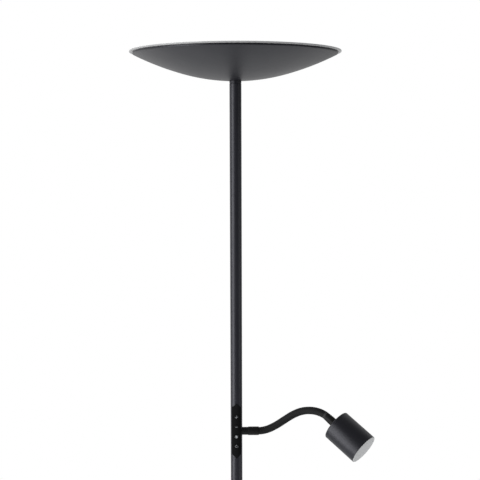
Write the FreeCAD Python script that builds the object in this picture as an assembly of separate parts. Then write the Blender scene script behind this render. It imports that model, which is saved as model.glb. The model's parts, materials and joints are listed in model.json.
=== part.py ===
import FreeCAD, Part
import math
import os

# Torchiere floor lamp with a reading light on a bendable neck.
# Millimetres, +Z up, origin on the pole's axis at floor level, the control strip facing -Y, the neck leaving
# towards +X.

Vector = FreeCAD.Vector
UP = Vector(0, 0, 1)
FRONT = Vector(0, -1, 0)
BACK = Vector(0, 1, 0)
RIGHT = Vector(1, 0, 0)

# Driving dimensions of the whole lamp
rim_height = 1795.0
pole_radius = 8.0
pole_wall = 1.0
pole_sections = 3
arm_drop = 514.85

# Base
pad_radius = 126.0
pad_thickness = 2.5
cover_radius = 130.0
cover_bottom = 1.5
cover_top = 22.0
cover_wall = 1.2
cover_edge = 6.0
weight_radius = 122.0
weight_top = 16.0
weight_edge = 2.0
lead_slot_width = 10.0
terminal_size = (16.0, 18.0, 13.0)
terminal_distance = 96.0
inlet_height = 7.0
inlet_bore = 3.2
inlet_neck = 4.2
inlet_flange = 5.2
foot_ring_radius = 14.0
foot_ring_height = 8.0
foot_ring_edge = 2.0

# Threaded fittings, all with the same hollow thread
thread_radius = 4.85
thread_bore = 3.4
nut_flats = 14.0
nut_height = 5.0
washer_radius = 9.0
washer_thickness = 1.5
insert_length = 25.0
lead_radius = 2.4
lead_rise = 10.2
lead_bend = 14.0
lead_stop = 12.0
light_wire_radius = 1.5
nut_pocket_radius = 15.0
nut_pocket_room = 1.5
clamp_play = 0.2

# Uplighter bowl
bowl_rim_radius = 136.3
bowl_crown_radius = 262.0
bowl_crown_reach = 70.0
bowl_flank_radius = 378.0
bowl_lip = 2.2
bowl_wall = 1.2
bowl_seat_radius = 12.0
bowl_edge_round = 1.8
top_collar_height = 3.3
diffuser_radius = 140.8
diffuser_thickness = 2.0
diffuser_edge = 0.8
diffuser_crown = 2.6
diffuser_flat_from = 123.0
locating_gap = 0.5
locating_width = 2.0
locating_depth = 1.0
plate_radius = 100.0
plate_depth = 16.0
plate_thickness = 2.0
board_radius = 88.0
board_thickness = 1.6
pillar_circle = 84.0
post_circle = 94.0
post_turns = (30, 150, 270)
post_radius = 2.5
post_socket_radius = 4.5
post_socket_depth = 7.0
light_rings = ((30.0, 8), (55.0, 14), (78.0, 20))
light_side = 3.0
light_height = 0.8
driver_size = (36.0, 60.0, 12.0)
driver_start = 12.5

# Control strip
strip_above_arm = 2.0
strip_half_length = 38.5
strip_straight = 32.6
strip_half_width = 6.5
strip_proud = 0.5
window_half_width = 5.0
window_half_length = 31.0
button_heights = {"plus": 19.5, "minus": 5.6, "light": -8.0, "power": -21.4}
button_radius = 3.6
button_gap = 0.3
switch_side = 6.0
switch_top = -4.2
switch_bottom = -2.0

# Bendable neck: the turn of each stretch in degrees, up positive, from the pole to the reading head
neck_start = 30.8
stub_length = 4.0
link_length = 14.0
neck_turns = (8.4, 18.8, 8.3, 0.4, -8.3, -15.4, -14.8, -17.8, -11.7)
neck_swing = -32.0
sleeve_radius = 5.1
core_radius = 4.0
ball_radius = 2.7
ball_clearance = 0.3
ball_stem_radius = 1.7
cup_radius = 3.6
cup_reach = 0.6
wire_bore = 1.0
sleeve_gap = 2.4
core_start = 4.0
socket_radius = 5.35
socket_end = 16.0
ferrule_radius = 5.85
ferrule_tail_radius = 2.95
tip_ferrule_radius = 5.65
tip_ferrule_length = 17.3

# Reading head, along its own axis from the back face
head_radius = 21.3
head_shell_length = 50.0
head_wall = 1.6
head_back_wall = 2.0
head_back_round = 2.2
head_face_proud = 0.7
head_face_seat = 1.5
head_face_round = 0.7
head_face_radius = 20.9
head_board_base = 18.0
head_light_circle = 7.0
head_sink_base = 6.5
head_fin_depth = 8.0
head_fin_slot = 1.6
head_sink_bore = 4.5

# Heights worked out from the driving dimensions
nut_pocket_top = pad_thickness + nut_height + washer_thickness + nut_pocket_room
base_nut_bottom = nut_pocket_top - washer_thickness - nut_height
arm_height = rim_height - arm_drop
strip_height = arm_height + strip_above_arm
pole_inner = pole_radius - pole_wall

# The bowl's half section: a crown arc centred on the axis, and a flank arc that leaves it tangent and runs to
# the foot of the lip
crown_slope = bowl_crown_reach / bowl_crown_radius
crown_rise = math.sqrt(1 - crown_slope ** 2)
flank_offset = bowl_crown_reach - bowl_flank_radius * crown_slope
flank_drop = math.sqrt(bowl_flank_radius ** 2 - (bowl_rim_radius - flank_offset) ** 2)
flank_centre = Vector(flank_offset, 0, rim_height - bowl_lip + flank_drop)
crown_centre = Vector(0, 0, flank_centre.z - (bowl_flank_radius - bowl_crown_radius) * crown_rise)
seat_height = crown_centre.z - math.sqrt(bowl_crown_radius ** 2 - bowl_seat_radius ** 2)
pole_bottom = cover_top
pole_top = seat_height - top_collar_height
section_length = (pole_top - pole_bottom) / pole_sections
section_ends = [pole_bottom + section_length * i for i in range(pole_sections + 1)]


def save(name, *solids):
    """Writes one node, as one solid or as a group of separate solids."""
    shape = solids[0] if len(solids) == 1 else Part.makeCompound(list(solids))
    shape.exportStep(f"parts/{name}.step")
    print(name, round(sum(s.Volume for s in shape.Solids), 1), len(shape.Solids), shape.isValid())


def rod(radius, start, length, direction=UP):
    return Part.makeCylinder(radius, length, start, direction)


def ring(outer, inner, start, length, direction=UP):
    """A straight tube."""
    overrun = direction * 1.0
    return rod(outer, start, length, direction).cut(rod(inner, start - overrun, length + 2.0, direction))


def block(size, centre):
    corner = centre - Vector(size[0] / 2, size[1] / 2, size[2] / 2)
    return Part.makeBox(size[0], size[1], size[2], corner)


def at_height(height):
    return Vector(0, 0, height)


def on_circle(radius, degrees, height):
    turn = math.radians(degrees)
    return Vector(radius * math.cos(turn), radius * math.sin(turn), height)


def prism(points, direction):
    """A solid with straight sides, from the corners of its first face."""
    return Part.Face(Part.makePolygon(points + points[:1])).extrude(direction)


def revolved(points):
    """A solid of revolution about Z, from the corners (radius, height) of its half section."""
    corners = [Vector(r, 0, z) for r, z in points]
    face = Part.Face(Part.makePolygon(corners + corners[:1]))
    return face.revolve(Vector(0, 0, 0), UP, 360)


def hex_nut(base_height):
    """A nut on the pole's axis, clear through for the hollow thread."""
    corner = nut_flats / math.sqrt(3)
    points = [on_circle(corner, 60 * i, base_height) for i in range(6)]
    nut = prism(points, UP * nut_height)
    crown = Part.makeSphere(corner * 1.12, at_height(base_height + nut_height / 2))
    return nut.common(crown).cut(rod(thread_radius, at_height(base_height - 1), nut_height + 2))


def washer(base_height):
    return ring(washer_radius, thread_radius, at_height(base_height), washer_thickness)


def circular_edges(shape, radius, height):
    """The full circles about Z of one radius at one height."""
    found = []
    for edge in shape.Edges:
        curve = edge.Curve
        if isinstance(curve, Part.Circle) and abs(curve.Radius - radius) < 1e-3:
            if abs(edge.BoundBox.ZMin - height) < 1e-3 and abs(edge.BoundBox.ZMax - height) < 1e-3:
                found.append(edge)
    return found


def swept_tube(radius, edges):
    """A round bar along a path of tangent lines and arcs."""
    wire = Part.Wire(edges)
    start = edges[0].valueAt(edges[0].FirstParameter)
    heading = edges[0].tangentAt(edges[0].FirstParameter)
    profile = Part.Wire(Part.Edge(Part.Circle(start, heading, radius)))
    return wire.makePipeShell([profile], True, True)


# Base: a cast weight under a pressed cover, clamped together by the hollow thread of the pole's foot


def base_cover():
    inner_edge = cover_edge - cover_wall
    outside = rod(cover_radius, at_height(cover_bottom), cover_top - cover_bottom)
    outside = outside.makeFillet(cover_edge, circular_edges(outside, cover_radius, cover_top))
    inside_top = cover_top - cover_wall
    inside = rod(cover_radius - cover_wall, at_height(cover_bottom - 1), inside_top - cover_bottom + 1)
    inside = inside.makeFillet(inner_edge, circular_edges(inside, cover_radius - cover_wall, inside_top))
    cover = outside.cut(inside)
    cover = cover.cut(rod(thread_radius + clamp_play, at_height(inside_top - 1), cover_wall + 2))
    return cover.cut(rod(inlet_neck, Vector(0, cover_radius - 10, inlet_height), 20, BACK))


def base_weight():
    weight = rod(weight_radius, at_height(pad_thickness), weight_top - pad_thickness)
    weight = weight.makeFillet(weight_edge, circular_edges(weight, weight_radius, weight_top))
    weight = weight.cut(rod(nut_pocket_radius, at_height(0), nut_pocket_top))
    weight = weight.cut(rod(thread_radius + clamp_play, at_height(0), weight_top + 1))
    slot = (lead_slot_width, weight_radius + 10, 2 * weight_top)
    weight = weight.cut(block(slot, Vector(0, slot[1] / 2, weight_top)))
    room = (terminal_size[0] + 2, terminal_size[1] + 2, 2 * weight_top)
    return weight.cut(block(room, Vector(0, terminal_distance, weight_top)))


def cord_grommet():
    flange = rod(inlet_flange, Vector(0, cover_radius - 0.2, inlet_height), 1.4, BACK)
    neck = rod(inlet_neck, Vector(0, cover_radius - cover_wall - 0.4, inlet_height), 3.0, BACK)
    lip = rod(inlet_flange - 0.2, Vector(0, cover_radius - cover_wall - 2.0, inlet_height), 1.6, BACK)
    body = neck.fuse([flange, lip]).cut(rod(inlet_bore, Vector(0, cover_radius - 10, inlet_height), 20, BACK))
    shell = rod(cover_radius, at_height(0), 30).cut(rod(cover_radius - cover_wall, at_height(-1), 32))
    body = body.cut(shell.cut(rod(inlet_neck, Vector(0, cover_radius - 10, inlet_height), 20, BACK)))
    return max(body.Solids, key=lambda solid: solid.Volume)


def lead_path():
    """The inner lead: from the terminal block along the weight's slot, over the nut, round a bend and up."""
    level = pad_thickness + lead_rise
    bend = lead_bend
    upper_end = strip_height - window_half_length - lead_stop
    corner_start = Vector(0, bend, level)
    corner_middle = Vector(0, bend * (1 - math.sin(math.pi / 4)), level + bend * (1 - math.cos(math.pi / 4)))
    corner_end = Vector(0, 0, level + bend)
    first = Vector(0, terminal_distance - terminal_size[1] / 2, level)
    return [
        Part.LineSegment(first, corner_start).toShape(),
        Part.Arc(corner_start, corner_middle, corner_end).toShape(),
        Part.LineSegment(corner_end, at_height(upper_end)).toShape(),
    ]


def build_base():
    nipple_bottom = base_nut_bottom - 0.5
    nipple_length = pole_bottom + insert_length - 2 - nipple_bottom
    nipple = ring(thread_radius, thread_bore, at_height(nipple_bottom), nipple_length)
    # the lead enters the hollow thread from the side, through a slot in its foot
    slot_top = pole_bottom + 2
    slot = block((2 * lead_radius + 1, lead_bend, slot_top), Vector(0, lead_bend / 2, slot_top / 2))
    save("base_pad", rod(pad_radius, at_height(0), pad_thickness))
    save("base_weight", base_weight())
    save("base_cover", base_cover())
    save("base_nipple", nipple.cut(slot))
    save("cord_grommet", cord_grommet())
    terminal_middle = Vector(0, terminal_distance, pad_thickness + terminal_size[2] / 2)
    save("terminal_block", block(terminal_size, terminal_middle))
    foot_ring = ring(foot_ring_radius, pole_radius, at_height(cover_top), foot_ring_height)
    upper_edge = circular_edges(foot_ring, foot_ring_radius, cover_top + foot_ring_height)
    foot_ring = foot_ring.makeFillet(foot_ring_edge, upper_edge)
    save("foot_ring", foot_ring)
    save("inner_lead", swept_tube(lead_radius, lead_path()))


# Pole: equal tubes joined by hollow studs in pressed-in threaded inserts


def pole_tube(index):
    bottom = section_ends[index]
    tube = ring(pole_radius, pole_inner, at_height(bottom), section_length)
    if index == pole_sections - 1:
        window = (2 * window_half_width, pole_radius, 2 * window_half_length)
        tube = tube.cut(block(window, Vector(0, -pole_radius, strip_height)))
        tube = tube.cut(rod(ferrule_tail_radius, at_height(arm_height), 2 * pole_radius, RIGHT))
    return tube


def build_pole():
    names = ["pole_lower", "pole_middle", "pole_upper"]
    for index in range(pole_sections):
        save(names[index], pole_tube(index))
    inserts = []
    for index in range(pole_sections):
        for bottom in (section_ends[index], section_ends[index + 1] - insert_length):
            inserts.append(ring(pole_inner, thread_radius, at_height(bottom), insert_length))
    save("pole_inserts", *inserts)
    studs = []
    for height in section_ends[1:-1]:
        bottom = at_height(height - insert_length + 2)
        studs.append(ring(thread_radius, thread_bore, bottom, 2 * insert_length - 4))
    save("pole_studs", *studs)
    collar = ring(pole_radius, thread_radius, at_height(pole_top), top_collar_height)
    save("top_collar", collar)


# Control strip: a moulded strip over a window in the pole, with four push buttons in front of switches


def strip_outline(margin, depth_from, depth_to):
    """The strip's long hexagon, grown by a margin, as a prism between two depths along Y."""
    half_width = strip_half_width + margin
    half_straight = strip_straight + margin / 2
    half_length = strip_half_length + margin
    corners = [
        (0, half_length),
        (half_width, half_straight),
        (half_width, -half_straight),
        (0, -half_length),
        (-half_width, -half_straight),
        (-half_width, half_straight),
    ]
    points = [Vector(x, depth_from, strip_height + z) for x, z in corners]
    return prism(points, Vector(0, depth_to - depth_from, 0))


def control_fascia():
    skin_outer = rod(pole_radius + strip_proud, at_height(strip_height - 60), 120)
    skin_inner = rod(pole_radius, at_height(strip_height - 61), 122)
    skin = strip_outline(0, -pole_radius - 2, -4.0).common(skin_outer).cut(skin_inner)
    filler_depth = 2.0
    filler_size = (2 * window_half_width - 0.3, filler_depth, 2 * window_half_length - 0.4)
    filler = block(filler_size, Vector(0, -pole_radius + filler_depth / 2, strip_height))
    filler = filler.common(rod(pole_radius + 0.2, at_height(strip_height - 60), 120))
    fascia = skin.fuse(filler)
    for height in button_heights.values():
        centre = Vector(0, 0, strip_height + height)
        fascia = fascia.cut(rod(button_radius + button_gap, centre, 20, FRONT))
    return fascia.removeSplitter()


def button(height):
    """A round button: a cap that follows the strip's curve, a flange behind the strip and a stem."""
    centre = Vector(0, 0, strip_height + height)
    flange_back = -5.1
    flange_front = flange_back - 0.6
    cap_face = pole_radius + strip_proud + 0.25
    cap = rod(button_radius, Vector(0, flange_front, centre.z), 8, FRONT)
    cap = cap.common(rod(cap_face, centre - UP * 20, 40))
    flange = rod(button_radius + 0.7, Vector(0, flange_back, centre.z), flange_back - flange_front, FRONT)
    stem_back = switch_top + 0.4
    stem = rod(0.7, Vector(0, stem_back, centre.z), stem_back - flange_back, FRONT)
    return cap.fuse([flange, stem]).removeSplitter()


def build_control():
    save("control_fascia", control_fascia())
    board_size = (7.0, 1.2, 2 * window_half_length - 2)
    board_back = switch_bottom + board_size[1]
    save("control_board", block(board_size, Vector(0, (switch_bottom + board_back) / 2, strip_height)))
    switches = []
    for height in button_heights.values():
        depth = switch_bottom - switch_top
        centre = Vector(0, (switch_bottom + switch_top) / 2, strip_height + height)
        body = block((switch_side, depth, switch_side), centre)
        well = rod(1.1, Vector(0, switch_top + 1.5, centre.z), 3, FRONT)
        switches.append(body.cut(well))
    save("tact_switches", *switches)
    for name, height in button_heights.items():
        save(f"button_{name}", button(height))


# Bendable neck: ball-and-cup links under short sleeves, along a path of tangent arcs


def side_of(heading):
    """The level direction square to a heading."""
    side = UP.cross(heading)
    return side.normalize()


class Stretch:
    """One arc of the neck's path, from a point and heading, by a length, a bend up and a swing."""

    def __init__(self, start, heading, length, bend, swing):
        self.start = start
        self.heading = heading
        self.length = length
        side = side_of(heading)
        self.bend_axis = side * -1.0
        self.swing_axis = heading.cross(side)
        turn = self.bend_axis * math.radians(bend) + self.swing_axis * math.radians(swing)
        self.angle = turn.Length
        self.axis = turn.normalize()
        self.radius = length / self.angle
        self.centre = start + self.axis.cross(heading) * self.radius

    def point(self, along):
        """The path's point at a length along it; outside the arc it runs on straight."""
        inside = min(max(along, 0.0), self.length)
        spin = FreeCAD.Rotation(self.axis, math.degrees(self.angle * inside / self.length))
        place = self.centre + spin.multVec(self.start - self.centre)
        return place + self.direction(along) * (along - inside)

    def direction(self, along):
        inside = min(max(along, 0.0), self.length)
        spin = FreeCAD.Rotation(self.axis, math.degrees(self.angle * inside / self.length))
        return spin.multVec(self.heading)

    def bar(self, radius, begin, end):
        """A round bar along the arc, between two lengths on it."""
        middle = (begin + end) / 2
        arc = Part.Arc(self.point(begin), self.point(middle), self.point(end)).toShape()
        return swept_tube(radius, [arc])

    def straight_bar(self, radius, along, reach):
        """A round bar from a point on the path, tangent to it, forwards or backwards."""
        heading = self.direction(along)
        return rod(radius, self.point(along), abs(reach), heading if reach > 0 else heading * -1.0)


def neck_stretches():
    lengths = [stub_length] + [link_length] * (len(neck_turns) - 2) + [stub_length]
    swing_per_length = neck_swing / sum(lengths)
    start = Vector(neck_start, 0, arm_height)
    heading = Vector(1, 0, 0)
    stretches = []
    for length, bend in zip(lengths, neck_turns):
        stretch = Stretch(start, heading, length, bend, swing_per_length * length)
        stretches.append(stretch)
        start = stretch.point(length)
        heading = stretch.direction(length)
    return stretches


def ball_end(stretch):
    """The ball about a stretch's first point, on its stem."""
    ball = Part.makeSphere(ball_radius, stretch.start)
    stem = stretch.bar(ball_stem_radius, 0, core_start + 0.4)
    return [ball, stem]


def cup_end(stretch, body_from):
    """The body of a core up to its last point, with a cup for the next ball."""
    end = stretch.length
    shoulder = end - ball_radius - 1.2
    parts = [stretch.straight_bar(cup_radius, end, cup_reach), stretch.bar(cup_radius, shoulder - 0.4, end)]
    if shoulder > body_from:
        parts.append(stretch.bar(core_radius, body_from, shoulder))
    return parts


def hollowed(core, stretch):
    """Cuts the cup about the stretch's last point."""
    return core.cut(Part.makeSphere(ball_radius + ball_clearance, stretch.point(stretch.length)))


def with_wire_bore(core, stretch, before, after):
    bore = [
        stretch.straight_bar(wire_bore, 0, -before),
        stretch.bar(wire_bore, 0, stretch.length),
        stretch.straight_bar(wire_bore, stretch.length, after),
    ]
    for piece in bore:
        core = core.cut(piece)
    return core


def sleeve(stretch, begin, end):
    return stretch.bar(sleeve_radius, begin, end).cut(stretch.bar(core_radius, begin, end))


def build_neck(stretches):
    half_gap = sleeve_gap / 2
    saddle = rod(socket_radius, Vector(pole_radius - 5, 0, arm_height), socket_end - pole_radius + 5, RIGHT)
    saddle = saddle.cut(rod(pole_radius, at_height(arm_height - 20), 40))
    saddle = saddle.cut(rod(ferrule_tail_radius, Vector(0, 0, arm_height), 40, RIGHT))
    save("neck_socket", saddle)

    ferrule = rod(ferrule_radius, Vector(socket_end, 0, arm_height), neck_start - socket_end, RIGHT)
    tail = rod(ferrule_tail_radius, Vector(pole_inner, 0, arm_height), socket_end - pole_inner, RIGHT)
    pocket_start = socket_end + 3.0
    ferrule = ferrule.makeFillet(0.5, [e for e in ferrule.Edges if isinstance(e.Curve, Part.Circle)])
    ferrule = ferrule.fuse(tail)
    ferrule = ferrule.cut(rod(core_radius, Vector(pocket_start, 0, arm_height), 40, RIGHT))
    ferrule = ferrule.cut(rod(wire_bore + 0.6, Vector(0, 0, arm_height), 40, RIGHT))
    save("root_ferrule", ferrule)

    root = stretches[0]
    root_inside = neck_start - pocket_start
    stub_end = stub_length - half_gap
    parts = [root.straight_bar(core_radius, 0, -root_inside), root.bar(sleeve_radius, 0, stub_end)]
    parts.append(root.bar(cup_radius, 0, stub_length))
    parts.append(root.straight_bar(cup_radius, stub_length, cup_reach))
    core = parts[0].fuse(parts[1:])
    core = hollowed(core, root)
    save("root_core", with_wire_bore(core, root, root_inside + 1, 3))

    for number, stretch in enumerate(stretches[1:-1], start=1):
        parts = ball_end(stretch) + cup_end(stretch, core_start)
        core = parts[0].fuse(parts[1:])
        core = with_wire_bore(hollowed(core, stretch), stretch, ball_radius + 1, 3)
        save(f"link_core_{number}", core)
        save(f"link_sleeve_{number}", sleeve(stretch, half_gap, stretch.length - half_gap))

    tip = stretches[-1]
    ball = Part.makeSphere(ball_radius, tip.start)
    stem = tip.bar(ball_stem_radius, 0, tip.length)
    plug = tip.straight_bar(core_radius, tip.length, 8.0)
    collar_start = core_start - 0.4
    collar = tip.bar(sleeve_radius, collar_start, tip.length)
    core = ball.fuse([stem, plug, collar])
    save("tip_core", with_wire_bore(core, tip, ball_radius + 1, 9))
    save("tip_sleeve", sleeve(tip, half_gap, collar_start))

    begin = tip.point(tip.length)
    heading = tip.direction(tip.length)
    ferrule = rod(tip_ferrule_radius, begin, tip_ferrule_length, heading)
    ferrule = ferrule.makeFillet(0.5, [e for e in ferrule.Edges if isinstance(e.Curve, Part.Circle)])
    ferrule = ferrule.fuse(rod(ferrule_tail_radius, begin + heading * tip_ferrule_length, 6.0, heading))
    ferrule = ferrule.cut(rod(core_radius, begin - heading, 9.0, heading))
    save("tip_ferrule", ferrule.cut(rod(wire_bore + 0.6, begin - heading, 30, heading)))
    return begin + heading * tip_ferrule_length, heading


# Reading head: a turned shell with a heat sink, a light board, a reflector and an opal face


def head_placement(back_centre, heading):
    return FreeCAD.Placement(back_centre, FreeCAD.Rotation(UP, heading))


def head_shell():
    shell = rod(head_radius, at_height(0), head_shell_length)
    shell = shell.makeFillet(head_back_round, circular_edges(shell, head_radius, 0))
    cavity = rod(head_radius - head_wall, at_height(head_back_wall), head_shell_length)
    face_seat = rod(head_face_radius, at_height(head_shell_length - head_face_seat), 10)
    hole = rod(ferrule_tail_radius, at_height(-1), 10)
    return shell.cut(cavity).cut(face_seat).cut(hole)


def head_heat_sink():
    radius = head_radius - head_wall
    sink = rod(radius, at_height(head_sink_base), head_board_base - head_sink_base)
    hub = 6.5
    slot_middle = Vector(hub + radius / 2, 0, head_sink_base + head_fin_depth / 2)
    for turn in range(0, 360, 20):
        slot = block((radius, head_fin_slot, head_fin_depth), slot_middle)
        slot.rotate(Vector(0, 0, 0), UP, turn)
        sink = sink.cut(slot)
    return sink.cut(rod(head_sink_bore, at_height(0), head_shell_length))


def build_head(back_centre, heading):
    placement = head_placement(back_centre, heading)
    board_top = head_board_base + board_thickness
    cavity = head_radius - head_wall
    face_back = head_shell_length - head_face_seat
    face_front = head_shell_length + head_face_proud
    cone_foot = board_top + 1.0
    cone = [(11.0, cone_foot), (12.0, cone_foot), (cavity, face_back), (cavity - 1.0, face_back)]
    face = rod(head_face_radius, at_height(face_back), face_front - face_back)
    face = face.makeFillet(head_face_round, circular_edges(face, head_face_radius, face_front))
    chip_size = (light_side, light_side, light_height)
    chip_middle = board_top + light_height / 2
    lights = [block(chip_size, at_height(chip_middle))]
    for turn in range(0, 360, 60):
        lights.append(block(chip_size, on_circle(head_light_circle, turn, chip_middle)))
    pieces = {
        "head_shell": [head_shell()],
        "head_heat_sink": [head_heat_sink()],
        "head_light_board": [rod(cavity - 1.0, at_height(head_board_base), board_thickness)],
        "head_lights": lights,
        "head_reflector": [revolved(cone)],
        "head_face": [face],
    }
    for name, solids in pieces.items():
        save(name, *[solid.transformed(placement.toMatrix()) for solid in solids])


# Uplighter: a spun bowl on the pole's top, with a light board on a spreader plate under an opal disc


def on_arc(centre, radius, across):
    """The lowest point of a circle in the half section, at a distance from the lamp's axis."""
    return Vector(across, 0, centre.z - math.sqrt(radius ** 2 - (across - centre.x) ** 2))


def bowl_solid(inset, top):
    """The bowl filled up to a height, with its crown, flank, edge and lip all moved inwards by an inset."""
    crown = bowl_crown_radius - inset
    flank = bowl_flank_radius - inset
    edge = bowl_edge_round - inset
    lip = bowl_rim_radius - inset
    bottom = seat_height + inset
    seat = math.sqrt(crown ** 2 - (crown_centre.z - bottom) ** 2)
    joint = on_arc(crown_centre, crown, crown * crown_slope)
    edge_centre = on_arc(flank_centre, flank - edge, lip - edge)
    outward = (edge_centre - flank_centre).normalize()
    edge_start = flank_centre + outward * flank
    middle_turn = math.asin(-outward.z) / 2
    edge_middle = edge_centre + Vector(math.cos(middle_turn), 0, -math.sin(middle_turn)) * edge
    edge_end = edge_centre + RIGHT * edge
    first = on_arc(crown_centre, crown, seat)
    corners = [Vector(lip, 0, edge_end.z), Vector(lip, 0, top), at_height(top), at_height(bottom), first]
    edges = [
        Part.Arc(first, on_arc(crown_centre, crown, (seat + joint.x) / 2), joint).toShape(),
        Part.Arc(joint, on_arc(flank_centre, flank, (joint.x + edge_start.x) / 2), edge_start).toShape(),
        Part.Arc(edge_start, edge_middle, edge_end).toShape(),
    ]
    edges += [Part.LineSegment(start, end).toShape() for start, end in zip(corners, corners[1:])]
    return Part.Face(Part.Wire(edges)).revolve(Vector(0, 0, 0), UP, 360)


def uplight_bowl():
    bowl = bowl_solid(0, rim_height).cut(bowl_solid(bowl_wall, rim_height + 1))
    return bowl.cut(rod(thread_radius + 0.1, at_height(seat_height - 1), bowl_wall + 2))


def uplight_diffuser():
    """An opal disc with a flat border, a shallow crown, a locating ring and three sockets."""
    top = rim_height + diffuser_thickness
    flat = diffuser_flat_from
    edge = rod(diffuser_radius, at_height(rim_height), diffuser_thickness)
    rims = circular_edges(edge, diffuser_radius, top) + circular_edges(edge, diffuser_radius, rim_height)
    edge = edge.makeFillet(diffuser_edge, rims)
    crown_radius = (flat ** 2 + diffuser_crown ** 2) / (2 * diffuser_crown)
    crown = rod(flat, at_height(top - 0.2), 10)
    crown = crown.common(Part.makeSphere(crown_radius, at_height(top + diffuser_crown - crown_radius)))
    hollow_centre = at_height(rim_height + diffuser_crown - crown_radius)
    hollow = rod(flat, at_height(rim_height - 1), 10).common(Part.makeSphere(crown_radius, hollow_centre))
    disc = edge.fuse(crown).cut(hollow)
    locating = bowl_rim_radius - bowl_wall - locating_gap
    below = at_height(rim_height - locating_depth)
    disc = disc.fuse(ring(locating, locating - locating_width, below, locating_depth + 0.5))
    for turn in post_turns:
        foot = on_circle(post_circle, turn, rim_height - post_socket_depth)
        disc = disc.fuse(rod(post_socket_radius, foot, post_socket_depth + 1.5))
        disc = disc.cut(rod(post_radius + 0.1, foot - UP, post_socket_depth + 0.5))
    return disc.removeSplitter()


def build_uplighter():
    plate_bottom = rim_height - plate_depth
    plate_top = plate_bottom + plate_thickness
    board_top = plate_top + board_thickness
    pillar_turns = (90, 210, 330)
    hole_radius = 1.6
    plate = rod(plate_radius, at_height(plate_bottom), plate_thickness)
    board = rod(board_radius, at_height(plate_top), board_thickness)
    inside = bowl_solid(bowl_wall, rim_height)
    pillars = []
    screws = []
    for turn in pillar_turns:
        foot = on_circle(pillar_circle, turn, plate_bottom - 12)
        hole = rod(hole_radius, foot, 30)
        plate = plate.cut(hole)
        board = board.cut(hole)
        pillar = rod(3.2, foot, 12).common(inside)
        thread = rod(1.3, on_circle(pillar_circle, turn, plate_bottom - 4), 10)
        pillars.append(pillar.cut(thread))
        head = rod(2.8, on_circle(pillar_circle, turn, board_top), 1.8)
        shank = rod(1.3, on_circle(pillar_circle, turn, plate_bottom - 3.5), 3.5 + board_top - plate_bottom)
        screws.append(head.fuse(shank))
    lights = []
    chip_size = (light_side, light_side, light_height)
    chip_middle = board_top + light_height / 2
    for radius, count in light_rings:
        for number in range(count):
            chip = block(chip_size, Vector(radius, 0, chip_middle))
            chip.rotate(Vector(0, 0, 0), UP, 360.0 * number / count)
            lights.append(chip)
    posts = []
    post_length = rim_height - 1.5 - plate_top
    for turn in post_turns:
        posts.append(rod(post_radius, on_circle(post_circle, turn, plate_top), post_length))
    driver_middle = Vector(driver_start + driver_size[0] / 2, 0, plate_bottom - driver_size[2] / 2)
    save("uplight_bowl", uplight_bowl())
    save("spreader_plate", plate)
    save("uplight_board", board)
    save("uplight_lights", *lights)
    save("plate_pillars", *pillars)
    save("plate_screws", *screws)
    save("diffuser_posts", *posts)
    save("light_driver", block(driver_size, driver_middle))
    save("uplight_diffuser", uplight_diffuser())


def light_wire_path():
    """The wire from the control board up the pole, out of the top thread and into the driver's side."""
    start = strip_height + window_half_length + 2
    bend = 6.0
    level = rim_height - plate_depth - driver_size[2] / 2
    low = at_height(level - bend)
    middle = Vector(bend * (1 - math.cos(math.pi / 4)), 0, level - bend + bend * math.sin(math.pi / 4))
    high = Vector(bend, 0, level)
    return [
        Part.LineSegment(at_height(start), low).toShape(),
        Part.Arc(low, middle, high).toShape(),
        Part.LineSegment(high, Vector(driver_start, 0, level)).toShape(),
    ]


def build_joining_hardware():
    bowl_floor = seat_height + bowl_wall
    top_nipple_top = bowl_floor + washer_thickness + nut_height + 2
    top_nipple_bottom = pole_top - insert_length + 2
    length = top_nipple_top - top_nipple_bottom
    save("top_nipple", ring(thread_radius, thread_bore, at_height(top_nipple_bottom), length))
    save("thread_washers", washer(base_nut_bottom + nut_height), washer(bowl_floor))
    save("thread_nuts", hex_nut(base_nut_bottom), hex_nut(bowl_floor + washer_thickness))
    save("light_wire", swept_tube(light_wire_radius, light_wire_path()))


def main():
    os.makedirs("parts", exist_ok=True)
    build_base()
    build_pole()
    build_control()
    stretches = neck_stretches()
    back_centre, heading = build_neck(stretches)
    build_head(back_centre, heading)
    build_uplighter()
    build_joining_hardware()
    for number, stretch in enumerate(stretches[1:], start=1):
        place = stretch.start
        bend = stretch.bend_axis
        swing = stretch.swing_axis
        print("pivot", number, *[f"{v:.5f}" for v in (place.x, place.y, place.z)],
              "bend", *[f"{v:.6f}" for v in bend], "swing", *[f"{v:.6f}" for v in swing])
    print("head", back_centre, heading)


main()
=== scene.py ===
import json
import math

import bmesh
import bpy
import numpy as np
from bpy.props import FloatProperty, FloatVectorProperty, IntProperty, PointerProperty
from bpy.types import Operator, Panel, PropertyGroup
from mathutils import Matrix, Vector


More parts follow.
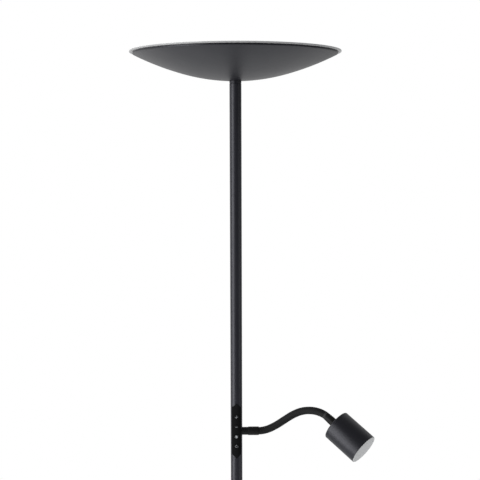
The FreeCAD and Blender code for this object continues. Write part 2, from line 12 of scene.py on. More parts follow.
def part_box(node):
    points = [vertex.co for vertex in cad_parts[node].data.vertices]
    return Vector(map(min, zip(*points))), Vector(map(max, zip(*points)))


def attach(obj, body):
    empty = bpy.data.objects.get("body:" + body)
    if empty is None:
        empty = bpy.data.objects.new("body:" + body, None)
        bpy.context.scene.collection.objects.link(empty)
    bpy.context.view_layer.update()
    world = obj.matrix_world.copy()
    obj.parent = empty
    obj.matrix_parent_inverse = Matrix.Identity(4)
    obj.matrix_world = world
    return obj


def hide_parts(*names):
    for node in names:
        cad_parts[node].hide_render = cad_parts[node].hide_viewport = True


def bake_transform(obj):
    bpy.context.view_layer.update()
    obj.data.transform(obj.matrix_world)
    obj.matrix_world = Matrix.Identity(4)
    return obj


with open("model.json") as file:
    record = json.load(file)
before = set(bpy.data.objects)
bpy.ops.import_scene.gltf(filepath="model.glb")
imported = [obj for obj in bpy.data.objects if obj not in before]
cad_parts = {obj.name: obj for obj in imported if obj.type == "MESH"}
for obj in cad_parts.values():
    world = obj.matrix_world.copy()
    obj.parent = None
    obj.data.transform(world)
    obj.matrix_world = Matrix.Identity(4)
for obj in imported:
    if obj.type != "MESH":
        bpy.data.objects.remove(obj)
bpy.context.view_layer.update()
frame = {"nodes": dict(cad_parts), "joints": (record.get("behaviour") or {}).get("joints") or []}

bl_info = {
    "name": "Torchiere floor lamp",
    "version": (1, 0, 0),
    "blender": (4, 5, 0),
    "location": "View3D > Sidebar > Lamp",
    "description": "Dresses a floor lamp with an uplighter bowl and a reading light on a bendable neck",
    "category": "Object",
}

MM = 0.001
BODY = "lamp"
HEAD_BODY = "reading_head"
BUTTONS = ("plus", "minus", "light", "power")
NECK_JOINTS = [joint["name"] for joint in frame["joints"] if joint["type"] == "hinge"]
LINKS = range(1, len(NECK_JOINTS))
FINISHES = {}
SHADER_GROUPS = {}


# Places read from the frame


def corners(node):
    """A node's lowest and highest corners as arrays."""
    low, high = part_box(node)
    return np.array(low), np.array(high)


def node_points(node):
    """A node's separate vertices, once each."""
    mesh = frame["nodes"][node].data
    places = np.empty(len(mesh.vertices) * 3)
    mesh.vertices.foreach_get("co", places)
    return np.unique(np.round(places.reshape(-1, 3), 7), axis=0)


def reach_along(node, origin, axis):
    """How far a node's points lie along an axis from its origin, and how far from the axis."""
    points = node_points(node) - origin
    along = points @ axis
    return along, np.linalg.norm(points - along[:, None] * axis, axis=1)


def joint_place(name):
    return next(np.array(joint["pos_m"]) for joint in frame["joints"] if joint["name"] == name)


def head_frame():
    """The middle of the reading head's back and its unit axis: the direction in which its round light board's
    points spread least, turned towards its face."""
    points = node_points("head_light_board")
    centre = points.mean(axis=0)
    axis = np.linalg.svd(points - centre)[2][2]
    if axis @ (node_points("head_face").mean(axis=0) - centre) < 0:
        axis = -axis
    return centre + min(reach_along("head_shell", centre, axis)[0]) * axis, axis


POLE_RADIUS = corners("pole_upper")[1][0]
ARM_HEIGHT = float(corners("neck_socket")[0][2] + corners("neck_socket")[1][2]) / 2


# Outlines and surfaces, worked out as arrays


def unit(vectors):
    return vectors / np.linalg.norm(vectors, axis=-1, keepdims=True)


def angle_between(first, second):
    """The angle between two unit vectors, safe from rounding."""
    return math.acos(max(-1.0, min(1.0, float(first @ second))))


def arc(centre, radius, start, end, steps):
    """Points of a circular arc: the centre plus the radius times cosine and sine of evenly spaced angles."""
    turn = np.radians(np.linspace(start, end, steps))
    return np.column_stack([centre[0] + radius * np.cos(turn), centre[1] + radius * np.sin(turn)])


def rounded(outline, steps=6):
    """A closed outline whose corners (x, y, rounding) give way to arcs tangent to both their sides."""
    points = []
    for index, (x, y, size) in enumerate(outline):
        corner = np.array([x, y])
        if not size:
            points.append(corner[None])
            continue
        before = unit(np.array(outline[index - 1][:2]) - corner)
        after = unit(np.array(outline[(index + 1) % len(outline)][:2]) - corner)
        half = angle_between(before, after) / 2
        centre = corner + unit(before + after) * size / math.sin(half)
        first = (corner + before * size / math.tan(half) - centre) / size
        last = (corner + after * size / math.tan(half) - centre) / size
        spread = angle_between(first, last)
        share = np.linspace(0, 1, steps)[:, None]
        swing = (np.sin((1 - share) * spread) * first + np.sin(share * spread) * last) / math.sin(spread)
        points.append(centre + size * swing)
    return np.vstack(points)


def section(inner, outer, low, high, low_edge=0.0, high_edge=0.0, inner_edge=0.0, steps=6):
    """A ring's section, with the roundings of its two outer corners and of the upper inner one."""
    return rounded([
        (inner, low, 0), (outer, low, low_edge), (outer, high, high_edge), (inner, high, inner_edge)], steps)


def grid_faces(rows, columns, wrap_rows=False, wrap_columns=True):
    """Four-sided faces between neighbouring rows and columns of a grid of points."""
    row = np.arange(rows if wrap_rows else rows - 1)[:, None]
    column = np.arange(columns if wrap_columns else columns - 1)[None, :]
    next_row = (row + 1) % rows
    next_column = (column + 1) % columns
    faces = np.stack([
        row * columns + column,
        row * columns + next_column,
        next_row * columns + next_column,
        next_row * columns + column,
    ], axis=-1)
    return faces.reshape(-1, 4)


def facing_out(points, faces):
    """Turns all faces round if the volume that they enclose comes out negative."""
    a, b, c, d = (points[faces[:, i]] for i in range(4))
    volume = np.einsum("ij,ij->", a, np.cross(b, c)) + np.einsum("ij,ij->", a, np.cross(c, d))
    return points, faces if volume > 0 else faces[:, ::-1]


def thickened(outside, inside, faces):
    """Two skins with the same faces made one shell, by walls along the edges that only one face has."""
    count = len(outside)
    edges = faces[:, [[0, 1], [1, 2], [2, 3], [3, 0]]].reshape(-1, 2)
    border = edges[~np.isin(edges @ [count, 1], edges @ [1, count])]
    walls = np.hstack([border[:, ::-1], border + count])
    return facing_out(np.vstack([outside, inside]), np.vstack([faces, faces[:, ::-1] + count, walls]))


def lathe(outline, segments=128):
    """Turns an outline of (radius, height) points about Z: x = r cos a, y = r sin a, z = height.
    An outline that starts and ends on the axis makes a closed shell; any other is taken as a closed loop."""
    outline = np.asarray(outline, float)
    turn = np.linspace(0, 2 * math.pi, segments, endpoint=False)
    radius = outline[:, :1]
    points = np.stack([radius * np.cos(turn), radius * np.sin(turn), outline[:, 1:] + 0 * turn], axis=-1)
    on_axis = outline[0, 0] < 1e-9 and outline[-1, 0] < 1e-9
    faces = grid_faces(len(outline), segments, wrap_rows=not on_axis)
    return facing_out(points.reshape(-1, 3), faces)


def joined(*shapes):
    """Several shells as one."""
    counts = [len(points) for points, faces in shapes]
    faces = [faces + sum(counts[:index]) for index, (points, faces) in enumerate(shapes)]
    return np.vstack([points for points, _ in shapes]), np.vstack(faces)


def moved(shape, shift):
    return shape[0] + np.asarray(shift), shape[1]


def along_axis(shape, origin, axis):
    """A shape turned to lay its Z axis along a direction and its Y axis as near to up as it goes."""
    side = unit(np.cross([0, 0, 1.0], axis))
    points = shape[0] @ np.array([side, np.cross(axis, side), axis])
    return facing_out(points + origin, shape[1])


def add_object(name, data):
    added = bpy.data.objects.new(name, data)
    bpy.context.scene.collection.objects.link(added)
    return added


def make_piece(name, shape, finish, body=None, replaced=(), sharp=32.0):
    """Puts a shape into a mesh object, joins its doubled points, shades it, hangs it on its body if it has
    one and hides the nodes that it replaces.
    """
    mesh = bpy.data.meshes.new(name)
    mesh.from_pydata(shape[0], [], shape[1].tolist())
    work = bmesh.new()
    work.from_mesh(mesh)
    bmesh.ops.remove_doubles(work, verts=work.verts, dist=2e-7)
    work.to_mesh(mesh)
    work.free()
    mesh.shade_smooth()
    mesh.set_sharp_from_angle(angle=math.radians(sharp))
    mesh.materials.append(FINISHES[finish])
    piece = add_object(name, mesh)
    if body:
        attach(piece, body)
    if replaced:
        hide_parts(*replaced)
    return piece


def turned_piece(name, outline, finish, node, body=BODY, steps=None, axis=None, sharp=32.0):
    """A turned piece that stands for a node, about Z or an axis given as its origin and direction."""
    shape = lathe(outline, steps or shape_settings().round_steps)
    if axis:
        shape = along_axis(shape, *axis)
    make_piece(name, shape, finish, body, (node,), sharp)


def dress(finish, *nodes):
    """Gives CAD nodes their finish."""
    for node in nodes:
        materials = frame["nodes"][node].data.materials
        materials.clear()
        materials.append(FINISHES[finish])


# Shader nodes


def feed(tree, node, inputs):
    """Sets a node's inputs: another node's output is linked, and anything else is the input's value."""
    for key, value in inputs.items():
        if isinstance(value, bpy.types.NodeSocket):
            tree.links.new(value, node.inputs[key])
        else:
            node.inputs[key].default_value = value


def add_node(tree, kind, inputs=None, **settings):
    """A node whose settings are made first, because they decide which inputs it has."""
    node = tree.nodes.new("ShaderNode" + kind)
    for key, value in settings.items():
        setattr(node, key, value)
    feed(tree, node, inputs or {})
    return node


def math_node(tree, operation, first, second):
    return add_node(tree, "Math", {0: first, 1: second}, operation=operation).outputs[0]


def product(tree, first, second):
    return math_node(tree, "MULTIPLY", first, second)


def noise(tree, vector, scale, detail, roughness=0.55):
    inputs = {"Vector": vector, "Scale": scale, "Detail": detail, "Roughness": roughness}
    return add_node(tree, "TexNoise", inputs).outputs["Fac"]


def mixed_colour(tree, factor, low, high):
    """Two colours mixed by a factor that changes over the surface."""
    return add_node(tree, "Mix", {"Factor": factor, "A": low, "B": high}, data_type="RGBA").outputs["Result"]


def ranged(tree, value, low, high, start=0.3, end=0.7, kind="LINEAR"):
    """Low to high as a value goes from start to end, which are the usual limits of a noise."""
    inputs = {"Value": value, "From Min": start, "From Max": end, "To Min": low, "To Max": high}
    return add_node(tree, "MapRange", inputs, interpolation_type=kind).outputs["Result"]


def bumped(tree, height, strength, distance):
    inputs = {"Height": height, "Strength": strength, "Distance": distance}
    return add_node(tree, "Bump", inputs).outputs["Normal"]


def object_place(tree):
    return add_node(tree, "TexCoord").outputs["Object"]


def upward(tree):
    """The height of the surface's unit normal: 1 where it looks up, 0 at its sides, -1 underneath."""
    return add_node(tree, "SeparateXYZ", {0: add_node(tree, "NewGeometry").outputs["Normal"]}).outputs["Z"]


# Shader groups that several finishes share


def new_group(name, inputs, *outputs):
    """An empty group with its two ends. Its inputs are given with their defaults; its outputs are numbers."""
    group = bpy.data.node_groups.new(name, "ShaderNodeTree")
    for title, default in inputs.items():
        kind = "NodeSocketVector" if isinstance(default, tuple) else "NodeSocketFloat"
        group.interface.new_socket(name=title, in_out="INPUT", socket_type=kind).default_value = default
    for title in outputs:
        group.interface.new_socket(name=title, in_out="OUTPUT", socket_type="NodeSocketFloat")
    return group, group.nodes.new("NodeGroupInput").outputs, group.nodes.new("NodeGroupOutput")


def surface_grain_group():
    """Fine pits and broad cloudiness on an object's own coordinates."""
    inputs = {"Grain Scale": 1500.0, "Cloud Scale": 9.0}
    group, given, result = new_group("Surface grain", inputs, "Grain", "Cloud")
    place = object_place(group)
    fine = noise(group, place, given["Grain Scale"], detail=2.0)
    coarse = noise(group, place, product(group, given["Grain Scale"], 0.31), detail=1.0)
    grain = math_node(group, "ADD", product(group, fine, 0.6), product(group, coarse, 0.4))
    feed(group, result, {"Grain": grain, "Cloud": noise(group, place, given["Cloud Scale"], detail=4.0)})
    return group


def settled_dust_group():
    """A thin, uneven layer on faces that look up: the normal's height above level, broken up by noise."""
    group, given, result = new_group("Settled dust", {"Amount": 0.1}, "Mask")
    facing = math_node(group, "POWER", math_node(group, "MAXIMUM", upward(group), 0.0), 3.0)
    place = object_place(group)
    speckle = noise(group, place, 420.0, detail=5.0, roughness=0.7)
    patchy = noise(group, place, 14.0, detail=2.0)
    layer = product(group, facing, product(group, speckle, patchy))
    feed(group, result, {"Mask": product(group, layer, given["Amount"])})
    return group


def drawn_lines_group():
    """Fine drawing or rolling lines: noise stretched along one axis of the object's coordinates."""
    group, given, result = new_group("Drawn lines", {"Stretch": (900.0, 900.0, 12.0)}, "Lines")
    inputs = {0: object_place(group), 1: given["Stretch"]}
    scaled = add_node(group, "VectorMath", inputs, operation="MULTIPLY").outputs["Vector"]
    feed(group, result, {"Lines": noise(group, scaled, 1.0, detail=4.0, roughness=0.6)})
    return group


def mirrored_level_group():
    """How bright the surroundings look in the lamp's paint, from a direction: dark in front, white behind and
    dimmer on the right than on the left."""
    group, given, result = new_group("Mirrored level", {"Direction": (0.0, 0.0, 0.0)}, "Level")
    parts = add_node(group, "SeparateXYZ", {0: given["Direction"]}).outputs
    behind = ranged(group, parts["Y"], 0.0, 1.0, start=-0.1, end=0.75, kind="SMOOTHSTEP")
    sideways = math_node(group, "SUBTRACT", 0.92, product(group, parts["X"], 0.4))
    feed(group, result, {"Level": product(group, behind, sideways)})
    return group


def placed_group(tree, name, **inputs):
    """The outputs of a shared group, which is built the first time that a finish asks for it."""
    makers = {"grain": surface_grain_group, "dust": settled_dust_group, "lines": drawn_lines_group,
              "mirrored": mirrored_level_group}
    if name not in SHADER_GROUPS:
        SHADER_GROUPS[name] = makers[name]()
    inputs = {key.replace("_", " "): value for key, value in inputs.items()}
    return add_node(tree, "Group", inputs, node_tree=SHADER_GROUPS[name]).outputs


# Finishes

DUST = (0.62, 0.61, 0.59)
SATIN_TINT = (0.92, 0.925, 1.0)
GLOSS_FADE = (0.45, 0.95)
# Painted light: the pole's tubes take the same powder coat, made this much lighter than on the bowl and head
TUBE_PAINTED_LIGHT = 1.16
SHEET_LIGHTNESS = 1.12
# Painted shade on the opal disc: its sides and underside take this share of its top's colour
SHEET_PAINTED_SHADE = 0.71


def shaded(rgb):
    """A colour given as its screen value, turned to the linear value that a shader takes."""
    value = np.asarray(rgb, float)
    return tuple(np.where(value <= 0.04045, value / 12.92, ((value + 0.055) / 1.055) ** 2.4)) + (1.0,)


def grey(level):
    return (level, level, level)


def new_finish(name):
    material = bpy.data.materials.new(name)
    material.use_nodes = True
    return material, material.node_tree, material.node_tree.nodes["Principled BSDF"]


def plain_finish(name, low, high, rough, grain=1500.0, cloud=9.0, bump=0.2, depth=0.00006, dust=0.0,
                 metallic=0.0, specular=0.5, edge_specular=None, gloss_tint=grey(1.0)):
    """A plain body finish: clouded colour, roughness that follows the clouds, fine pits and a little dust. A
    rough coat shades its own reflections at a low angle, so its specular level may fall to the outline."""
    material, tree, shader = new_finish(name)
    body = placed_group(tree, "grain", Grain_Scale=grain, Cloud_Scale=cloud)
    colour = mixed_colour(tree, ranged(tree, body["Cloud"], 0.0, 1.0), shaded(low), shaded(high))
    roughness = ranged(tree, body["Cloud"], *rough)
    if dust:
        layer = placed_group(tree, "dust", Amount=dust)["Mask"]
        colour = mixed_colour(tree, layer, colour, shaded(DUST))
        roughness = math_node(tree, "ADD", roughness, layer)
    if edge_specular is not None:
        facing = add_node(tree, "LayerWeight").outputs["Facing"]
        specular = ranged(tree, facing, specular, edge_specular, *GLOSS_FADE)
    feed(tree, shader, {
        "Base Color": colour, "Roughness": roughness, "Normal": bumped(tree, body["Grain"], bump, depth),
        "Metallic": metallic, "Specular IOR Level": specular, "Specular Tint": (*gloss_tint, 1.0)})
    return material


def metal_finish(name, low, high, rough, stretch, bump=0.15, depth=0.00004):
    """Bare metal with drawing or turning lines."""
    material, tree, shader = new_finish(name)
    lines = placed_group(tree, "lines", Stretch=stretch)["Lines"]
    cloud = placed_group(tree, "grain", Grain_Scale=700.0, Cloud_Scale=25.0)["Cloud"]
    feed(tree, shader, {
        "Base Color": mixed_colour(tree, cloud, shaded(low), shaded(high)), "Metallic": 1.0,
        "Roughness": ranged(tree, lines, *rough), "Normal": bumped(tree, lines, bump, depth)})
    return material


def opal_finish(name, tint, painted_side_shade=None):
    """Milky acrylic: nearly white, with faint clouds inside and a satin skin. Given a factor, a sheet's sides
    and underside are painted greyer than its top by that factor, as painted shade."""
    material, tree, shader = new_finish(name)
    body = placed_group(tree, "grain", Grain_Scale=900.0, Cloud_Scale=30.0)
    colour = mixed_colour(tree, body["Cloud"], shaded(tint * 0.975), shaded(tint))
    # Painted shade: darker where the surface turns away from up, full colour where it looks up
    if painted_side_shade:
        colour = mixed_colour(tree, ranged(tree, upward(tree), 0.0, 1.0), shaded(tint * painted_side_shade), colour)
    feed(tree, shader, {
        "Base Color": colour, "Roughness": ranged(tree, body["Grain"], 0.34, 0.46),
        "Normal": bumped(tree, body["Grain"], 0.12, 0.00003), "Subsurface Weight": 0.15,
        "Subsurface Scale": 0.002, "Subsurface Radius": grey(1.0)})
    return material


def board_finish(name, mask_colour, track_colour, pitch):
    """A circuit board: solder mask over a maze of tracks, which stand a little proud."""
    material, tree, shader = new_finish(name)
    turn = (0.0, 0.0, math.radians(45))
    turned = add_node(tree, "Mapping", {"Vector": object_place(tree), "Rotation": turn}).outputs["Vector"]
    tracks = add_node(tree, "TexBrick", {
        "Vector": turned, "Scale": 1.0 / pitch, "Mortar Size": 0.06, "Mortar Smooth": 0.2, "Brick Width": 1.7,
        "Row Height": 0.6}).outputs["Fac"]
    cloud = placed_group(tree, "grain", Grain_Scale=600.0, Cloud_Scale=60.0)["Cloud"]
    feed(tree, shader, {
        "Base Color": mixed_colour(tree, tracks, shaded(mask_colour), shaded(track_colour)),
        "Normal": bumped(tree, tracks, 0.3, 0.00004), "Roughness": ranged(tree, cloud, 0.3, 0.42)})
    return material


def make_finishes(colours):
    """Every finish of the lamp, by the name that its pieces ask for."""
    coat, moulding, sleeve, opal, printed = (np.array(colour) for colour in (
        colours.coat, colours.moulding, colours.sleeve, colours.opal, colours.print))

    def coating(name, colour):
        return plain_finish(
            name, colour * 0.94, colour * 1.05, (0.36, 0.44), grain=4200.0, bump=0.1, depth=0.00003,
            dust=0.05, specular=0.44, edge_specular=0.15, gloss_tint=SATIN_TINT)

    return {
        "coat": coating("Satin black powder coat", coat),
        # Painted light: a lighter copy of the same powder coat, for the pole's tubes and the bowl's collar
        "tube_coat_painted_light": coating("Satin black coat on the tube", coat * TUBE_PAINTED_LIGHT),
        "fitting": plain_finish(
            "Matt black fittings", sleeve * 0.92, sleeve * 1.02, (0.5, 0.6), grain=2600.0, depth=0.00004,
            specular=0.22, edge_specular=0.1),
        "moulding": plain_finish(
            "Matt black moulding", moulding * 0.94, moulding * 1.06, (0.7, 0.8), grain=3200.0, bump=0.3,
            depth=0.00004, specular=0.0),
        "button": plain_finish(
            "Matt black button", moulding * 0.98, moulding * 1.1, (0.66, 0.76), grain=3600.0, bump=0.25,
            depth=0.00003, specular=0.02),
        "sleeve": plain_finish(
            "Soft neck sleeve", sleeve * 0.93, sleeve * 1.07, (0.66, 0.78), grain=1800.0, cloud=40.0,
            bump=0.35, depth=0.00008, specular=0.26),
        "nylon": plain_finish("Black nylon", grey(0.1), grey(0.13), (0.45, 0.6)),
        "nylon_core": plain_finish("Grey acetal", (0.3, 0.3, 0.31), (0.35, 0.35, 0.36), (0.35, 0.45)),
        "rubber": plain_finish("Black rubber", grey(0.1), grey(0.14), (0.6, 0.75), grain=900.0),
        "foam": plain_finish(
            "Foam pad", grey(0.12), grey(0.17), (0.85, 0.95), grain=600.0, bump=0.8, depth=0.0003),
        "jacket": plain_finish("Cable jacket", grey(0.12), grey(0.15), (0.4, 0.5), grain=500.0),
        "casting": plain_finish(
            "Rough casting", (0.3, 0.3, 0.31), (0.4, 0.39, 0.38), (0.6, 0.8), grain=350.0, bump=0.8,
            depth=0.0004, metallic=0.8, dust=0.1),
        "zinc": metal_finish(
            "Zinc plate", (0.66, 0.67, 0.7), (0.78, 0.79, 0.82), (0.25, 0.4), (1400.0, 1400.0, 30.0)),
        "aluminium": metal_finish(
            "Mill aluminium", (0.72, 0.73, 0.75), (0.82, 0.83, 0.85), (0.28, 0.42), (40.0, 1300.0, 1300.0)),
        "opal": opal_finish("Opal acrylic", opal),
        "opal_sheet": opal_finish("Opal acrylic sheet", opal * SHEET_LIGHTNESS, painted_side_shade=SHEET_PAINTED_SHADE),
        "reflector": plain_finish("White reflector", grey(0.9), grey(0.94), (0.4, 0.55)),
        "chip": plain_finish(
            "Phosphor chip", (0.93, 0.84, 0.45), (0.97, 0.9, 0.55), (0.3, 0.4), grain=2500.0),
        "board": board_finish("Green circuit board", (0.08, 0.3, 0.18), (0.2, 0.45, 0.28), 0.004),
        "white_board": board_finish("White circuit board", (0.9, 0.9, 0.88), (0.8, 0.81, 0.8), 0.012),
        "print": plain_finish(
            "Grey symbol print", printed * 0.96, printed, (0.55, 0.65), grain=2600.0, bump=0.15,
            depth=0.00002, specular=0.3),
    }


# Settings that a user would change


def colour_setting(name, what, default):
    description = f"Screen colour of the {what}"
    return FloatVectorProperty(
        name=name, description=description, subtype="COLOR", default=default, min=0.0, max=1.0)


def length_setting(name, description, default):
    return FloatProperty(name=name, description=description, unit="LENGTH", default=default)


def angle_setting(name, description, default):
    return FloatProperty(name=name, description=description, subtype="ANGLE", default=default)


class LampColours(PropertyGroup):
    coat: colour_setting("Powder coat", "painted metal", (0.108, 0.108, 0.126))
    moulding: colour_setting("Mouldings", "control strip and buttons", (0.087, 0.087, 0.089))
    sleeve: colour_setting("Neck sleeve", "bendable neck", (0.076, 0.076, 0.079))
    opal: colour_setting("Opal plastic", "diffusers", (0.745, 0.745, 0.745))
    print: colour_setting("Symbols", "symbols on the buttons", (0.66, 0.67, 0.68))


class LampShape(PropertyGroup):
    crown_radius: length_setting("Crown radius", "Radius of the arc in the middle of the bowl", 262 * MM)
    crown_reach: length_setting("Crown reach", "Distance from the axis to the crown's end", 70 * MM)
    flank_radius: length_setting("Flank radius", "Radius of the flatter arc that runs to the lip", 378 * MM)
    bowl_seat: length_setting("Bowl seat", "Radius of the flat seat under the bowl", 12 * MM)
    bowl_wall: length_setting("Bowl wall", "Thickness of the spun sheet", 1.2 * MM)
    bowl_edge: length_setting("Bowl edge", "Rounding between the bowl and its upright lip", 1.0 * MM)
    disc_thickness: length_setting("Disc thickness", "Thickness of the opal disc", 2.0 * MM)
    disc_flat: length_setting("Disc border", "Distance from the axis to the disc's flat border", 123 * MM)
    symbol_size: length_setting("Symbol size", "Width of a button's symbol", 4.0 * MM)
    round_steps: IntProperty(
        name="Steps round", description="Segments round a turned piece", default=160, min=24)


class LampStage(PropertyGroup):
    lens: FloatProperty(name="Lens", description="Focal length of the camera, in millimetres", default=75.4)
    distance: length_setting("Distance", "How far the camera is in front of the pole", 1.356)
    drop: length_setting("Drop", "How far the camera is below the bowl's rim", 0.1204)
    aside: length_setting("Aside", "How far the camera is to the right of the pole", -0.0034)
    pitch: angle_setting("Pitch", "How far the camera looks down", 0.0955)
    pan: angle_setting("Pan", "How far the camera looks to the right", 0.0066)
    roll: angle_setting("Roll", "The camera's tilt", -0.0028)
    ambient: FloatProperty(
        name="Surrounding light", description="Brightness of the light from all sides", default=0.6, min=0.0)


def shape_settings():
    return bpy.context.scene.lamp_shape


# Stage: camera, lamps, floor and surroundings

# Name, place and aim with heights above the bowl's rim, width and height, and power in watts
SOFTBOXES = (
    ("Left softbox", (-1.25, -0.73, -0.45), (0.0, 0.0, -0.35), (1.0, 1.8), 25.0),
    ("Top softbox", (0.0, 0.0, 0.6), (0.0, 0.0, 0.0), (0.3, 0.3), 1.3),
    ("Right softbox", (1.3, -0.5, -0.6), (0.0, 0.0, -0.35), (0.5, 1.2), 2.6),
)
FLOOR_RADIUS = 3.0
FLOOR_DEPTH = 0.02
FLOOR_FADE = (0.2 * FLOOR_RADIUS, 0.9 * FLOOR_RADIUS)
WHITE = (1.0, 1.0, 1.0, 1.0)
AMBIENT = (0.96, 0.98, 1.0, 1.0)


def set_camera(stage, rim):
    """A camera from its place and its pitch, pan and roll: the picture's right, up and back directions."""
    forward = np.array([math.sin(stage.pan), math.cos(stage.pan), 0.0])
    level = np.array([math.cos(stage.pan), -math.sin(stage.pan), 0.0])
    ahead = forward * math.cos(stage.pitch) - np.array([0.0, 0.0, math.sin(stage.pitch)])
    upright = np.cross(level, ahead)
    right = level * math.cos(stage.roll) + upright * math.sin(stage.roll)
    up = upright * math.cos(stage.roll) - level * math.sin(stage.roll)
    data = bpy.data.cameras.new("Camera")
    data.lens = stage.lens
    data.sensor_width = 36.0
    camera = add_object("Camera", data)
    turn = Matrix((right, up, -ahead)).transposed().to_4x4()
    camera.matrix_world = Matrix.Translation((stage.aside, -stage.distance, rim - stage.drop)) @ turn
    bpy.context.scene.camera = camera


def add_softbox(name, place, aim, size, power, rim):
    data = bpy.data.lights.new(name, "AREA")
    data.shape = "RECTANGLE"
    data.size, data.size_y = size
    data.energy = power
    box = add_object(name, data)
    box.rotation_mode = "QUATERNION"
    box.location = Vector(place) + Vector((0.0, 0.0, rim))
    box.rotation_quaternion = (Vector(aim) - Vector(place)).to_track_quat("-Z", "Y")


def white_share(tree, direction):
    """1 for camera rays and those seen through, the mirrored level for mirror rays, and 0 for the rest."""
    paths = add_node(tree, "LightPath").outputs
    direct = math_node(tree, "MAXIMUM", paths["Is Camera Ray"], paths["Is Transmission Ray"])
    level = placed_group(tree, "mirrored", Direction=direction)["Level"]
    return math_node(tree, "MAXIMUM", direct, product(tree, paths["Is Glossy Ray"], level))


def mixed_shader(tree, share, first, second):
    return add_node(tree, "MixShader", {"Fac": share, 1: first.outputs[0], 2: second.outputs[0]})


def set_surroundings(stage):
    """White where the camera looks, dimmed for mirror rays, and a plain level for the rays that light."""
    world = bpy.data.worlds.new("Studio")
    world.use_nodes = True
    tree = world.node_tree
    ambient = tree.nodes["Background"]
    feed(tree, ambient, {"Color": AMBIENT, "Strength": stage.ambient})
    white = add_node(tree, "Background", {"Color": WHITE})
    dark = add_node(tree, "Background", {"Strength": 0.0})
    unseen = mixed_shader(tree, add_node(tree, "LightPath").outputs["Is Glossy Ray"], ambient, dark)
    seen = white_share(tree, add_node(tree, "TexCoord").outputs["Generated"])
    feed(tree, tree.nodes["World Output"], {"Surface": mixed_shader(tree, seen, unseen, white).outputs[0]})
    bpy.context.scene.world = world


def floor_finish():
    """Pale floor that turns to plain white towards its edge, for the rays that see it directly."""
    material, tree, shader = new_finish("Pale floor")
    cloud = placed_group(tree, "grain", Grain_Scale=120.0, Cloud_Scale=1.5)["Cloud"]
    colour = mixed_colour(tree, cloud, shaded(grey(0.93)), shaded(grey(0.95)))
    feed(tree, shader, {"Base Color": colour, "Roughness": 0.75, "Specular IOR Level": 0.2})
    place = object_place(tree)
    length = add_node(tree, "VectorMath", {0: place}, operation="LENGTH").outputs["Value"]
    fade = ranged(tree, length, 0.0, 1.0, *FLOOR_FADE, "SMOOTHSTEP")
    bowl = (0.0, 0.0, float(corners("uplight_bowl")[0][2]))
    below = add_node(tree, "VectorMath", {0: place, 1: bowl}, operation="SUBTRACT").outputs["Vector"]
    direction = add_node(tree, "VectorMath", {0: below}, operation="NORMALIZE").outputs["Vector"]
    share = product(tree, fade, white_share(tree, direction))
    mix = mixed_shader(tree, share, shader, add_node(tree, "Emission"))
    feed(tree, tree.nodes["Material Output"], {"Surface": mix.outputs[0]})
    return material


class LAMP_OT_stage(Operator):
    """Adds the camera, the studio lamps, the pale floor and the white surroundings"""
    bl_idname = "lamp.stage"
    bl_label = "Stage"

    def execute(self, context):
        stage = context.scene.lamp_stage
        rim = float(corners("uplight_bowl")[1][2])
        set_camera(stage, rim)
        set_surroundings(stage)
        for softbox in SOFTBOXES:
            add_softbox(*softbox, rim)
        FINISHES["floor"] = floor_finish()
        floor = make_piece("floor", lathe(section(0, FLOOR_RADIUS, -FLOOR_DEPTH, 0)), "floor")
        return {"FINISHED"}


# Uplighter bowl and its opal disc

BOWL_INNER_EDGE = 0.3 * MM
BOWL_HOLE_PLAY = 0.1 * MM
COLLAR_EDGE = 0.15 * MM
SHADOW_GAP = 0.25 * MM
SHADOW_DEPTH = 1.2 * MM
DISC_EDGE = 0.8 * MM
LOCATING_GAP = 0.5 * MM
LOCATING_WIDTH = 2.0 * MM
LOCATING_DEPTH = 1.0 * MM
LOCATING_EDGE = 0.3 * MM
POST_PLAY = 0.1 * MM
POST_SOCKET_RADIUS = 4.5 * MM
POST_SOCKET_EDGE = 0.5 * MM
POST_SOCKET_MOUTH_EDGE = 0.2 * MM
POST_SOCKET_SINK = 0.5 * MM
POST_TURNS = (30, 150, 270)


def bowl_outline(settings, rim_radius, rim_height, seat_height, hole):
    """Both sides of the spun bowl: a flat seat, a crown arc centred on the axis, a flank arc that leaves it
    tangent, a rounded edge tangent to flank and lip, and the lip's rolled top."""
    wall = settings.bowl_wall
    slope = settings.crown_reach / settings.crown_radius
    crown_height = seat_height + math.sqrt(settings.crown_radius ** 2 - settings.bowl_seat ** 2)
    centre = np.array([0.0, crown_height])
    away = np.array([slope, -math.sqrt(1 - slope ** 2)])
    flank_centre = centre - away * (settings.flank_radius - settings.crown_radius)
    joint_turn = math.degrees(math.asin(slope))

    def side(inset):
        """One side, moved in by an inset: crown and flank keep their centres, and the edge stays round."""
        crown = settings.crown_radius - inset
        flank = settings.flank_radius - inset
        edge = max(settings.bowl_edge - inset, BOWL_INNER_EDGE)
        across = rim_radius - inset - edge
        aside = across - flank_centre[0]
        edge_turn = math.degrees(math.asin(aside / (flank - edge)))
        edge_centre = (across, flank_centre[1] - math.sqrt((flank - edge) ** 2 - aside ** 2))
        seat = math.sqrt(crown ** 2 - (crown_height - seat_height - inset) ** 2)
        seat_turn = math.degrees(math.asin(seat / crown))
        return np.vstack([
            arc(centre, crown, seat_turn - 90, joint_turn - 90, 28),
            arc(flank_centre, flank, joint_turn - 90, edge_turn - 90, 28)[1:],
            arc(edge_centre, edge, edge_turn - 90, 0, 8)[1:],
        ])

    roll = 0.45 * wall
    lip = np.vstack([
        arc((rim_radius - roll, rim_height - roll), roll, 0, 90, 5),
        arc((rim_radius - wall + roll, rim_height - roll), roll, 90, 180, 5),
    ])
    return np.vstack([(hole, seat_height), side(0.0), lip, side(wall)[::-1], (hole, seat_height + wall)])


